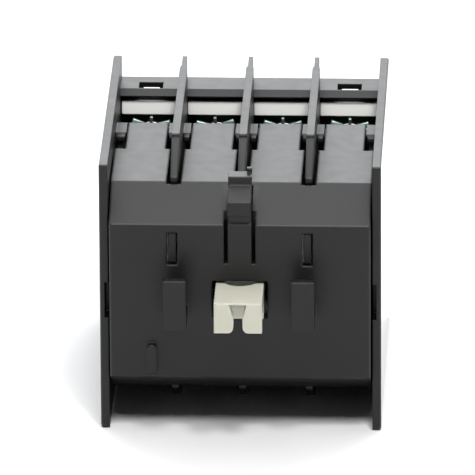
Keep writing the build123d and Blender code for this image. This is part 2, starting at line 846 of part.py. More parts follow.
# Clamp washers with bent wings and a domed outer end
for pole, x in enumerate(pole_places, 1):
    for place, side in (("top", 1), ("bottom", -1)):
        with BuildPart() as clamp_washer:
            half = washer_width / 2
            with BuildSketch(rear_plane(washer_rear_y)):
                with BuildLine():
                    Polyline(
                        (x - half, side * washer_shoulder_z),
                        (x - half, side * washer_low_z),
                        (x + half, side * washer_low_z),
                        (x + half, side * washer_shoulder_z),
                    )
                    ThreePointArc(
                        (x + half, side * washer_shoulder_z),
                        (x, side * washer_top_z),
                        (x - half, side * washer_shoulder_z),
                    )
                make_face()
            extrude(amount=-washer_thickness)
            # Wings bent towards the terminal pad
            with BuildSketch(rear_plane(washer_front_y)):
                for edge in (1, -1):
                    with Locations((
                        x + edge * (half - washer_wing / 2),
                        side * (washer_low_z + washer_shoulder_z) / 2,
                    )):
                        Rectangle(washer_wing, washer_shoulder_z - washer_low_z)
            extrude(amount=washer_thickness + washer_wing_reach)
            # Groove that bites the wire, and the screw hole
            with BuildSketch(rear_plane(washer_rear_y + washer_groove_depth)):
                with Locations((x, side * (washer_low_z + washer_top_z) / 2)):
                    Rectangle(washer_groove_width, washer_top_z - washer_low_z)
            extrude(amount=washer_groove_depth, mode=Mode.SUBTRACT)
            with BuildSketch(rear_plane(washer_rear_y)):
                with Locations((x, side * terminal_z)):
                    RegularPolygon(screw_diameter / 2 + washer_bore_clearance, small_flats, major_radius=False)
            extrude(amount=-washer_thickness, mode=Mode.SUBTRACT)
        save(clamp_washer.part, f"clamp_washer_{pole}_{place}")

# Blank label plates, pushed through the front wall from inside
for pole, x in enumerate(pole_places, 1):
    outer_x = plate_inner_x if pole in (1, 4) else fin_tip_thickness / 2
    inner_x = pole_pitch + fin_tip_thickness / 2 if pole in (1, 4) else pole_pitch - fin_tip_thickness / 2
    left_x = min(outer_x, inner_x) + label_side_gap
    right_x = max(outer_x, inner_x) - label_side_gap
    for place, side in (("top", 1), ("bottom", -1)):
        with BuildPart() as label_plate:
            with BuildSketch(rear_plane(label_rear_y)) as label_outline:
                with Locations((
                    (left_x + right_x) / 2 * (1 if x > 0 else -1),
                    side * label_centre_z,
                )):
                    Rectangle(right_x - left_x, label_height)
                chamfer(label_outline.vertices(), label_corner)
            extrude(amount=label_rear_y - wall_inner_y)
            with BuildSketch(rear_plane(wall_inner_y)):
                with Locations((x, side * label_centre_z)):
                    Rectangle(label_face_width, label_face_height)
            extrude(amount=label_set_back - front_wall)
        save(label_plate.part, f"label_plate_{pole}_{place}")
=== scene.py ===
"""Looks for a four pole auxiliary contact block: studio, moulded plastics, zinc plate, brass and springs.

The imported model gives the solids. This script gives each piece the finish of the real material, and adds what
the solids leave plain: small moulded forms of the housing and the cover, blank labels and bent washers. It also
sets the camera and the light of the photograph. A name that ends in _mm is a length in millimetres.
"""

import logging
import math
from dataclasses import dataclass, replace
from enum import Enum
from typing import Any

import bmesh
import bpy
from mathutils import Matrix, Vector


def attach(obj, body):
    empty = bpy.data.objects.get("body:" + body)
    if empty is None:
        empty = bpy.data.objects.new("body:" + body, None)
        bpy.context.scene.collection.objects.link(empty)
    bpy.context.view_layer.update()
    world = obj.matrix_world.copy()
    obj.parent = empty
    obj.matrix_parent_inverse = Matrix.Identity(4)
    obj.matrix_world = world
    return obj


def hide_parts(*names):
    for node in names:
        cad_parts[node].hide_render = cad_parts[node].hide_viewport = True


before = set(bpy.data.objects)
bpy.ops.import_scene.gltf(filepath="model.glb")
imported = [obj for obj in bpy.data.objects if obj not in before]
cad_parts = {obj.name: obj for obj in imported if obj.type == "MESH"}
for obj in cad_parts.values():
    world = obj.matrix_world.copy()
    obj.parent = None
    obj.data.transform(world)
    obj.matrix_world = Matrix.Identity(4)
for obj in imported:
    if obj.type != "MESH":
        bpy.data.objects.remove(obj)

LOG = logging.getLogger("contact_block")
MM = 0.001
WHITE = (1.0, 1.0, 1.0, 1.0)
# Most values of the noise texture lie between these two
NOISE_RANGE = (0.3, 0.7)
# Faces that meet at more than this keep a sharp edge between them
SHARP_DEG = 35.0
# Steps in the rounding of every edge, and its profile: 0.5 is an arc of a circle
ROUNDING_SEGMENTS = 3
ROUND_PROFILE = 0.5

Span = tuple[float, float]
Corner = tuple[float, float]
Triple = tuple[float, float, float]


class Side(Enum):
    """The two rows of terminals, which mirror each other."""

    TOP = 1
    BOTTOM = -1

    @property
    def row(self) -> str:
        """Name of the row, as in the names of its pieces."""
        return self.name.lower()

    def flip(self, outline_mm: list[Corner]) -> list[Corner]:
        """Bring a side profile of the upper row to this row.

        Args:
            outline_mm: Corners as depth Y and height Z.

        Returns:
            The same corners, mirrored for the lower row.
        """
        return [(y, self.value * z) for y, z in outline_mm]


class Hand(Enum):
    """Left and right, as the camera of the photograph sees them."""

    LEFT = -1
    RIGHT = 1

    @property
    def word(self) -> str:
        """Name of the side, as in the names of its pieces."""
        return self.name.lower()

    def span(self, sides_mm: Span) -> list[float]:
        """Bring a stretch of the right half to this side.

        Args:
            sides_mm: Inner and outer distance from the middle.

        Returns:
            The left and the right end along X.
        """
        return sorted(self.value * x for x in sides_mm)


@dataclass(frozen=True)
class Layout:
    """Where the poles and the fins between them stand."""

    poles: tuple[int, ...] = (1, 2, 3, 4)
    pitch_mm: float = 10.79
    fin_width_mm: float = 1.25

    @property
    def half_well_mm(self) -> float:
        """Half of the free width between two fins."""
        return (self.pitch_mm - self.fin_width_mm) / 2

    @property
    def fins_mm(self) -> tuple[float, ...]:
        """Middles of the fins along X, from the left."""
        return tuple(self.centre_mm(pole + 0.5) for pole in self.poles[:-1])

    def centre_mm(self, pole: float) -> float:
        """Place of a pole across the block.

        Args:
            pole: Number of the pole, from the left; halves stand for the fins.

        Returns:
            Its middle along X.
        """
        middle = (self.poles[0] + self.poles[-1]) / 2
        return (pole - middle) * self.pitch_mm


def linear(hex_colour: str) -> tuple[float, float, float, float]:
    """Turn an sRGB hex colour into the linear values that the shaders use.

    Args:
        hex_colour: Six hex digits, as in "2f2f30".

    Returns:
        Red, green, blue and alpha in linear light.
    """
    values = [int(hex_colour[i : i + 2], 16) / 255 for i in (0, 2, 4)]
    red, green, blue = (v / 12.92 if v <= 0.04045 else ((v + 0.055) / 1.055) ** 2.4 for v in values)
    return (red, green, blue, 1.0)


def add_node(
    tree: bpy.types.NodeTree, kind: str, links: dict[str | int, Any] | None = None, **settings: Any
) -> bpy.types.Node:
    """Add one shader node with its settings, and set or link its inputs.

    Args:
        tree: The material's or world's node tree.
        kind: Name of the node type without its ShaderNode prefix.
        links: Input name or index to an output socket to link, or to a value to set.
        settings: Attributes of the node itself.

    Returns:
        The new node.
    """
    node = tree.nodes.new(f"ShaderNode{kind}")
    for name, value in settings.items():
        setattr(node, name, value)
    for name, value in (links or {}).items():
        if isinstance(value, bpy.types.NodeSocket):
            tree.links.new(value, node.inputs[name])
        else:
            node.inputs[name].default_value = value
    return node


def noise(
    tree: bpy.types.NodeTree, place: bpy.types.NodeSocket, size_mm: float, detail: float
) -> bpy.types.NodeSocket:
    """Add a noise of a real size.

    Args:
        tree: The material's node tree.
        place: Coordinates to read it at.
        size_mm: Size of its largest features.
        detail: Number of finer layers.

    Returns:
        Its value, between 0 and 1.
    """
    links = {"Vector": place, "Scale": 1 / (size_mm * MM), "Detail": detail}
    return add_node(tree, "TexNoise", links).outputs[0]


def stretch(
    tree: bpy.types.NodeTree, value: bpy.types.NodeSocket, low: float, high: float
) -> bpy.types.NodeSocket:
    """Stretch the usual range of a noise over new limits.

    Args:
        tree: The material's node tree.
        value: The noise.
        low: Result for its low values.
        high: Result for its high values.

    Returns:
        The stretched value.
    """
    links = {"Value": value, "From Min": NOISE_RANGE[0], "From Max": NOISE_RANGE[1], "To Min": low, "To Max": high}
    return add_node(tree, "MapRange", links).outputs[0]


def mix_colours(
    tree: bpy.types.NodeTree, factor: bpy.types.NodeSocket, first: str, second: str
) -> bpy.types.NodeSocket:
    """Blend two colours.

    Args:
        tree: The material's node tree.
        factor: Share of the second colour.
        first: Hex colour at factor 0.
        second: Hex colour at factor 1.

    Returns:
        The blended colour.
    """
    # Inputs 6 and 7 and output 2 are the Mix node's sockets for colours
    links = {"Factor": factor, 6: linear(first), 7: linear(second)}
    return add_node(tree, "Mix", links, data_type="RGBA").outputs[2]


def mix_values(
    tree: bpy.types.NodeTree, factor: bpy.types.NodeSocket, first: bpy.types.NodeSocket | float, second: float
) -> bpy.types.NodeSocket:
    """Blend two plain values.

    Args:
        tree: The material's node tree.
        factor: Share of the second value.
        first: Value at factor 0.
        second: Value at factor 1.

    Returns:
        The blended value.
    """
    # Inputs 2 and 3 and output 0 are the Mix node's sockets for plain values
    return add_node(tree, "Mix", {"Factor": factor, 2: first, 3: second}).outputs[0]


def relief(
    tree: bpy.types.NodeTree,
    height: bpy.types.NodeSocket,
    strength: bpy.types.NodeSocket | float,
    depth_mm: float,
    edge_mm: float,
    edge_samples: int,
) -> bpy.types.NodeSocket:
    """Press a fine relief into a surface with softened edges.

    Args:
        tree: The material's node tree.
        height: The relief, between 0 and 1.
        strength: How much of it shows.
        depth_mm: Its real depth.
        edge_mm: Radius of the softened edges.
        edge_samples: Rays that look for an edge.

    Returns:
        The surface normal.
    """
    soft_edge = add_node(tree, "Bevel", {"Radius": edge_mm * MM}, samples=edge_samples).outputs[0]
    links = {"Strength": strength, "Distance": depth_mm * MM, "Height": height, "Normal": soft_edge}
    return add_node(tree, "Bump", links).outputs[0]


def new_material(name: str) -> tuple[bpy.types.Material, bpy.types.NodeTree]:
    """Make an empty node material.

    Args:
        name: Name of the finish.

    Returns:
        The material and its cleared node tree.
    """
    material = bpy.data.materials.new(name)
    material.use_nodes = True
    material.node_tree.nodes.clear()
    return material, material.node_tree


@dataclass(frozen=True)
class MouldedPlastic:
    """Injection moulded plastic with a spark eroded grain, gentle colour drift and softened edges."""

    name: str
    colour: str
    worn_colour: str
    grain_mm: float = 0.22
    grain_depth_mm: float = 0.012
    grain_strength: float = 0.35
    drift_mm: float = 14.0
    gloss_mm: float = 2.2
    roughness: float = 0.42
    roughness_spread: float = 0.05
    edge_mm: float = 0.18
    edge_samples: int = 6
    subsurface: float = 0.0
    subsurface_mm: float = 0.6
    milky: float = 0.0
    ior: float = 1.41
    polished_side_mm: float = 1000.0
    polished_roughness: float = 0.05

    def polished(self, tree: bpy.types.NodeTree, place: bpy.types.NodeSocket) -> bpy.types.NodeSocket:
        """Mark the outer faces of the side plates, which come from a polished part of the mould.

        Args:
            tree: The material's node tree.
            place: Object coordinates.

        Returns:
            1 on those faces and 0 elsewhere.
        """
        across = add_node(tree, "SeparateXYZ", {0: place}).outputs[0]
        distance = add_node(tree, "Math", {0: across}, operation="ABSOLUTE").outputs[0]
        links = {0: distance, 1: self.polished_side_mm * MM}
        return add_node(tree, "Math", links, operation="GREATER_THAN").outputs[0]

    def build(self) -> bpy.types.Material:
        """Build the material from noise of real sizes on Object coordinates.

        Returns:
            The finish.
        """
        material, tree = new_material(self.name)
        place = add_node(tree, "TexCoord").outputs["Object"]
        grain = noise(tree, place, self.grain_mm, detail=3.0)
        drift = noise(tree, place, self.drift_mm, detail=2.0)
        cloud = noise(tree, place, self.gloss_mm, detail=4.0)
        colour = mix_colours(tree, drift, self.colour, self.worn_colour)
        half_spread = self.roughness_spread / 2
        gloss = stretch(tree, cloud, self.roughness - half_spread, self.roughness + half_spread)
        polished = self.polished(tree, place)
        roughness = mix_values(tree, polished, gloss, self.polished_roughness)
        grain_strength = mix_values(tree, polished, self.grain_strength, 0.0)
        normal = relief(tree, grain, grain_strength, self.grain_depth_mm, self.edge_mm, self.edge_samples)
        shader = add_node(
            tree,
            "BsdfPrincipled",
            {"Base Color": colour, "Roughness": roughness, "IOR": self.ior, "Normal": normal,
             "Subsurface Weight": self.subsurface, "Subsurface Scale": self.subsurface_mm * MM,
             "Subsurface Radius": (1.0, 1.0, 1.0)},
        )
        surface = shader.outputs[0]
        if self.milky:
            through = add_node(tree, "BsdfTranslucent", {"Color": colour, "Normal": normal})
            surface = add_node(tree, "MixShader", {0: self.milky, 1: surface, 2: through.outputs[0]}).outputs[0]
        add_node(tree, "OutputMaterial", {"Surface": surface})
        return material


@dataclass(frozen=True)
class StampedMetal:
    """Sheet or turned metal: plated or bare, with fine drawn lines, cloudy gloss and soft sheared edges."""

    name: str
    colour: str
    cloud_colour: str
    roughness: float = 0.3
    gloss_spread: Span = (-0.06, 0.08)
    cloud_mm: float = 2.5
    line_mm: float = 0.12
    line_depth_mm: float = 0.004
    line_strength: float = 0.3
    line_squeeze: float = 0.12
    edge_mm: float = 0.08
    edge_samples: int = 4

    def build(self) -> bpy.types.Material:
        """Build the material: clouds tint the plate, stretched noise draws the rolling lines.

        Returns:
            The finish.
        """
        material, tree = new_material(self.name)
        place = add_node(tree, "TexCoord").outputs["Object"]
        cloud = noise(tree, place, self.cloud_mm, detail=3.0)
        drawn = add_node(tree, "Mapping", {"Vector": place, "Scale": (1.0, self.line_squeeze, 1.0)}).outputs[0]
        lines = noise(tree, drawn, self.line_mm, detail=2.0)
        tint = mix_colours(tree, cloud, self.colour, self.cloud_colour)
        gloss = stretch(tree, cloud, *(self.roughness + change for change in self.gloss_spread))
        normal = relief(tree, lines, self.line_strength, self.line_depth_mm, self.edge_mm, self.edge_samples)
        shader = add_node(
            tree, "BsdfPrincipled", {"Base Color": tint, "Metallic": 1.0, "Roughness": gloss, "Normal": normal}
        )
        add_node(tree, "OutputMaterial", {"Surface": shader.outputs[0]})
        return material


@dataclass(frozen=True)
class Palette:
    """The finishes of the block, each named for the real material."""

    # Glass filled nylon, spark eroded mould: a dark satin skin that turns pale at a low angle
    housing: MouldedPlastic = MouldedPlastic(
        "glass_filled_nylon_black", "080808", "0d0d0d", edge_mm=0.25, polished_side_mm=22.35
    )
    # The same nylon from another mould, a little finer
    cover: MouldedPlastic = MouldedPlastic("glass_filled_nylon_cover", "070707", "0c0c0c", grain_mm=0.18, edge_mm=0.5)
    # Polyester, natural cream, smooth from a polished mould
    carrier: MouldedPlastic = MouldedPlastic(
        "polyester_cream", "c3c2b3", "cac9bb", grain_mm=0.3, grain_depth_mm=0.006, roughness=0.45, edge_mm=0.22,
        subsurface=0.55, subsurface_mm=1.2, ior=1.5,
    )
    # Polycarbonate label stock, milky white: a little light passes through it
    label: MouldedPlastic = MouldedPlastic(
        "polycarbonate_white", "f6f6f3", "fafaf8", grain_mm=0.25, grain_depth_mm=0.005, roughness=0.6, edge_mm=0.12,
        milky=0.03,
    )
    # Steel with blue passivated zinc: cool cloudy gloss
    zinc: StampedMetal = StampedMetal("zinc_plated_steel", "a9b8b5", "93a19e", roughness=0.3)
    # The washers have a greener passivation, and colours a little darker than the screws' zinc: painted shade of the
    # deep terminal wells
    washer: StampedMetal = StampedMetal("zinc_passivated_steel", "9db6ab", "7f968d", roughness=0.38)
    # Bare rolled brass
    brass: StampedMetal = StampedMetal("rolled_brass", "c9a566", "b38f52", roughness=0.32)
    # Spring wire, dark grey with darker clouds
    wire: StampedMetal = StampedMetal("dark_grey_spring_wire", "3c3c3e", "2e2e30", roughness=0.4, edge_mm=0.02)


def dress(node: str, material: bpy.types.Material) -> None:
    """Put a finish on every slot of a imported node.

    Args:
        node: Name of the node.
        material: The finish.
    """
    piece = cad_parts[node]
    for place in piece.material_slots:
        place.material = material
    LOG.info("dressed %s with %s", node, material.name)


def thicken(shape: bmesh.types.BMesh, along: Triple) -> None:
    """Extrude a flat shape into a solid.

    Args:
        shape: The shape, all faces in one plane.
        along: Direction and length of the extrusion, in metres.
    """
    grown = bmesh.ops.extrude_face_region(shape, geom=list(shape.faces))["geom"]
    moved = [item for item in grown if isinstance(item, bmesh.types.BMVert)]
    bmesh.ops.translate(shape, verts=moved, vec=along)


def round_edges(shape: bmesh.types.BMesh, bevel_mm: float) -> None:
    """Round every edge of a shape and turn its faces outwards.

    Args:
        shape: The closed shape.
        bevel_mm: Width of the rounding.
    """
    bmesh.ops.recalc_face_normals(shape, faces=shape.faces)
    bmesh.ops.bevel(
        shape, geom=list(shape.edges), offset=bevel_mm * MM, segments=ROUNDING_SEGMENTS, profile=ROUND_PROFILE,
        affect="EDGES", material=-1,
    )
    bmesh.ops.recalc_face_normals(shape, faces=shape.faces)


def prism(outline_mm: list[Corner], x0_mm: float, x1_mm: float, bevel_mm: float) -> bmesh.types.BMesh:
    """Extrude a side profile across the block and round its edges.

    Args:
        outline_mm: Corners as depth Y and height Z, in order round the profile.
        x0_mm: Left end.
        x1_mm: Right end.
        bevel_mm: Width of the rounding.

    Returns:
        The closed shape.
    """
    shape = bmesh.new()
    shape.faces.new([shape.verts.new((x0_mm * MM, y * MM, z * MM)) for y, z in outline_mm])
    thicken(shape, ((x1_mm - x0_mm) * MM, 0, 0))
    round_edges(shape, bevel_mm)
    return shape


def oblong(depths_mm: Span, heights_mm: Span) -> list[Corner]:
    """Outline a rectangle in side view.

    Args:
        depths_mm: First and last depth Y.
        heights_mm: First and last height Z.

    Returns:
        Its four corners in order.
    """
    (y0, y1), (z0, z1) = depths_mm, heights_mm
    return [(y0, z0), (y0, z1), (y1, z1), (y1, z0)]


def joined(parts: list[bmesh.types.BMesh]) -> bmesh.types.BMesh:
    """Gather several shapes in one; the parts are freed.

    Args:
        parts: The shapes, each in place.

    Returns:
        One shape with all of them.
    """
    whole = bmesh.new()
    for part in parts:
        loose = bpy.data.meshes.new("loose_part")
        part.to_mesh(loose)
        part.free()
        whole.from_mesh(loose)
        bpy.data.meshes.remove(loose)
    return whole


def new_object(name: str, data: bpy.types.ID) -> bpy.types.Object:
    """Put a mesh, camera or light in the scene.

    Args:
        name: Name of the object.
        data: What it shows.

    Returns:
        The new object.
    """
    made = bpy.data.objects.new(name, data)
    bpy.context.scene.collection.objects.link(made)
    return made


def add_piece(
    shape: bmesh.types.BMesh, name: str, body: str, material: bpy.types.Material
) -> bpy.types.Object:
    """Turn a finished shape into a piece that rides on a body.

    Args:
        shape: The shape, in place; it is freed here.
        name: Name of the piece.
        body: Body that carries it.
        material: The finish.

    Returns:
        The new object.
    """
    mesh = bpy.data.meshes.new(name)
    shape.to_mesh(mesh)
    shape.free()
    mesh.materials.append(material)
    mesh.polygons.foreach_set("use_smooth", [True] * len(mesh.polygons))
    mesh.set_sharp_from_angle(angle=math.radians(SHARP_DEG))
    piece = new_object(name, mesh)
    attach(piece, body)
    LOG.info("built %s on %s", name, body)
    return piece


@dataclass(frozen=True)
class SoftLight:
    """One soft light, a lit ellipse that faces the block."""

    name: str
    direction: Triple
    size_mm: Span
    watts: float
    colour: Triple = (1.0, 1.0, 1.0)
    distance_mm: float = 900.0


@dataclass
class Studio:
    """Camera, floor and light of the photograph."""

    elevation_deg: float = 22.0
    azimuth_deg: float = 2.352
    roll_deg: float = -0.331
    distance_mm: float = 1722.73
    lens_mm: float = 820.1
    sensor_mm: float = 36.0
    clip_m: Span = (0.1, 20.0)
    aim_mm: Triple = (-0.32, 0.0, 11.33)
    floor_mm: float = -22.75
    floor_half_m: float = 6.0
    floor_colour: str = "f8f8f8"
    fill_strength: float = 0.06
    light_aim_mm: Triple = (0.0, 25.0, 0.0)
    lights: tuple[SoftLight, ...] = (
        # The smallest one, above the mounting face: it draws the shadows
        SoftLight("key_light", (0.18, -0.457, 1.0), (110.0, 110.0), 1.95),
        # From the camera's side, steep enough to leave the shadows dark
        SoftLight("front_light", (0.1, -1.0, 1.55), (420.0, 260.0), 4.9),
        SoftLight("top_light", (0.0, 0.12, 1.0), (850.0, 850.0), 3.7),
        # Wide and from beyond the block: it makes the flat black faces pale at a low angle
        SoftLight("back_light", (0.0, 1.0, 0.62), (1900.0, 900.0), 13.6, (0.95, 0.98, 1.0)),
    )

    def camera(self) -> None:
        """Set the camera where the photograph was taken from."""
        swing, rise, roll = (math.radians(v) for v in (self.azimuth_deg, self.elevation_deg, self.roll_deg))
        back = Vector((math.sin(swing) * math.cos(rise), -math.cos(swing) * math.cos(rise), math.sin(rise)))
        right = Vector((math.cos(swing), math.sin(swing), 0))
        up = back.cross(right)
        rolled_right = math.cos(roll) * right + math.sin(roll) * up
        rolled_up = -math.sin(roll) * right + math.cos(roll) * up
        data = bpy.data.cameras.new("studio_camera")
        data.lens, data.sensor_width = self.lens_mm, self.sensor_mm
        data.clip_start, data.clip_end = self.clip_m
        view = new_object("studio_camera", data)
        turn = Matrix((rolled_right, rolled_up, back)).transposed().to_4x4()
        view.matrix_world = Matrix.Translation((Vector(self.aim_mm) + back * self.distance_mm) * MM) @ turn
        bpy.context.scene.camera = view

    def hang(self, light: SoftLight) -> None:
        """Hang one light.

        Args:
            light: Its place, size, power and colour.
        """
        data = bpy.data.lights.new(light.name, "AREA")
        data.shape = "ELLIPSE"
        data.size, data.size_y = (v * MM for v in light.size_mm)
        data.energy = light.watts
        data.color = light.colour
        lamp = new_object(light.name, data)
        aim, toward = Vector([v * MM for v in self.light_aim_mm]), Vector(light.direction)
        lamp.location = aim + toward.normalized() * light.distance_mm * MM
        lamp.rotation_euler = (-toward).to_track_quat("-Z", "Y").to_euler()

    def world(self) -> None:
        """Pale room: even soft light, and white where the camera, gloss or glass looks past the block."""
        world = bpy.data.worlds.new("studio_world")
        bpy.context.scene.world = world
        world.use_nodes = True
        tree = world.node_tree
        tree.nodes.clear()
        path = add_node(tree, "LightPath")
        seen = add_node(
            tree, "Math", {0: path.outputs["Is Camera Ray"], 1: path.outputs["Is Transmission Ray"]},
            operation="MAXIMUM",
        )
        either = add_node(
            tree, "Math", {0: seen.outputs[0], 1: path.outputs["Is Glossy Ray"]}, operation="MAXIMUM"
        )
        white = add_node(tree, "Background", {"Color": WHITE, "Strength": 1.0})
        soft = add_node(tree, "Background", {"Color": WHITE, "Strength": self.fill_strength})
        mixed = add_node(tree, "MixShader", {0: either.outputs[0], 1: soft.outputs[0], 2: white.outputs[0]})
        add_node(tree, "OutputWorld", {"Surface": mixed.outputs[0]})

    def floor(self) -> None:
        """Lay the pale floor that takes the block's shadow."""
        mesh = bpy.data.meshes.new("studio_floor")
        shape = bmesh.new()
        bmesh.ops.create_grid(shape, x_segments=1, y_segments=1, size=self.floor_half_m)
        bmesh.ops.translate(shape, verts=shape.verts, vec=(0, 0, self.floor_mm * MM))
        shape.to_mesh(mesh)
        shape.free()
        ground = new_object("studio_floor", mesh)
        material, tree = new_material("studio_paper")
        paper = add_node(tree, "BsdfDiffuse", {"Color": linear(self.floor_colour)})
        add_node(tree, "OutputMaterial", {"Surface": paper.outputs[0]})
        mesh.materials.append(material)

    def build(self) -> None:
        """Set the camera, the floor and the lights."""
        bpy.context.scene.view_settings.view_transform = "Standard"
        self.camera()
        self.world()
        self.floor()
        for light in self.lights:
            self.hang(light)


@dataclass
class MouldedDetails:
    """Small moulded forms that the solids leave plain: ramps, hoods, tongue steps, a stop rib and a sill."""

    layout: Layout = Layout()
    ramp_foot_mm: Corner = (8.2, 18.25)
    ramp_head_mm: Corner = (16.1, 22.5)
    ramp_base_mm: float = 16.3
    ramp_bevel_mm: float = 0.2
    slope_start_mm: float = 13.39
    slope_rise: float = 0.5375
    step_depths_mm: Span = (2.74, 7.5)
    step_sides_mm: Span = (1.96, 2.95)
    step_thickness_mm: float = 1.6
    step_bevel_mm: float = 0.02
    rib_half_mm: float = 3.4
    rib_depths_mm: Span = (6.2, 7.2)
    rib_heights_mm: Span = (4.2, 15.9)
    rib_bevel_mm: float = 0.15
    sill_half_mm: float = 4.7
    sill_depths_mm: Span = (1.55, 6.4)
    sill_heights_mm: Span = (-2.9, -1.95)
    sill_bevel_mm: float = 0.1
    deck_z_mm: float = 17.67
    # Depth, and height above the deck
    hood_profile_mm: tuple[Corner, ...] = (
        (29.2, -0.02), (28.72, -0.16), (28.44, -0.48), (28.3, -1.0), (28.3, -1.3), (29.2, -1.3),
    )
    hood_sides_mm: Span = (0.64, 1.7)
    hood_bevel_mm: float = 0.12
    plate_inner_mm: float = 21.1
    plate_hood_mm: float = 1.62

    def fin_ramps(self, material: bpy.types.Material) -> None:
        """Slope the rear end of each fin, parallel to the cover's slope.

        Args:
            material: The housing's finish.
        """
        foot, head = self.ramp_foot_mm, self.ramp_head_mm
        outline = [foot, head, (head[0], self.ramp_base_mm), (foot[0], self.ramp_base_mm)]
        half = self.layout.fin_width_mm / 2
        for index, x in enumerate(self.layout.fins_mm, 1):
            for side in Side:
                ramp = prism(side.flip(outline), x - half, x + half, self.ramp_bevel_mm)
                add_piece(ramp, f"fin_ramp_{index}_{side.row}", "housing", material)

    def shoulder_hoods(self, material: bpy.types.Material) -> None:
        """Round the rear ends of the shoulders that key the cover.

        Args:
            material: The housing's finish.
        """
        near, far = self.hood_sides_mm
        spans = [(-self.plate_inner_mm, self.plate_hood_mm - self.plate_inner_mm)]
        for x in self.layout.fins_mm:
            spans += [(x - far, x - near), (x + near, x + far)]
        spans.append((self.plate_inner_mm - self.plate_hood_mm, self.plate_inner_mm))
        outline = [(y, self.deck_z_mm + z) for y, z in self.hood_profile_mm]
        for side in Side:
            hoods = joined([prism(side.flip(outline), x0, x1, self.hood_bevel_mm) for x0, x1 in spans])
            add_piece(hoods, f"shoulder_hoods_{side.row}", "housing", material)

    def tongue_steps(self, material: bpy.types.Material) -> None:
        """Narrow the slits beside the tongue where it crosses the slope.

        Args:
            material: The cover's finish.
        """
        low_y, high_y = self.step_depths_mm
        low_z, high_z = (self.slope_start_mm + self.slope_rise * y for y in self.step_depths_mm)
        outline = [
            (low_y, low_z), (high_y, high_z),
            (high_y, high_z - self.step_thickness_mm), (low_y, low_z - self.step_thickness_mm),
        ]
        for hand in Hand:
            step = prism(outline, *hand.span(self.step_sides_mm), self.step_bevel_mm)
            add_piece(step, f"tongue_step_{hand.word}", "housing", material)

    def stop_rib(self, material: bpy.types.Material) -> None:
        """Build the rib behind the tongue that stops it from bending too far.

        Args:
            material: The cover's finish.
        """
        outline = oblong(self.rib_depths_mm, self.rib_heights_mm)
        rib = prism(outline, -self.rib_half_mm, self.rib_half_mm, self.rib_bevel_mm)
        add_piece(rib, "tongue_stop_rib", "housing", material)

    def guide_sill(self, material: bpy.types.Material) -> None:
        """Build the sill inside the cover that the neck of the carrier slides over.

        Args:
            material: The cover's finish.
        """
        outline = oblong(self.sill_depths_mm, self.sill_heights_mm)
        sill = prism(outline, -self.sill_half_mm, self.sill_half_mm, self.sill_bevel_mm)
        add_piece(sill, "carrier_guide_sill", "housing", material)

    def build(
        self, housing: bpy.types.Material, cover: bpy.types.Material, crisp_cover: bpy.types.Material
    ) -> None:
        """Build the moulded details.

        Args:
            housing: The housing's finish.
            cover: The cover's finish.
            crisp_cover: The cover's finish without softened edges.
        """
        self.fin_ramps(housing)
        self.shoulder_hoods(housing)
        self.tongue_steps(crisp_cover)
        self.stop_rib(cover)
        self.guide_sill(cover)


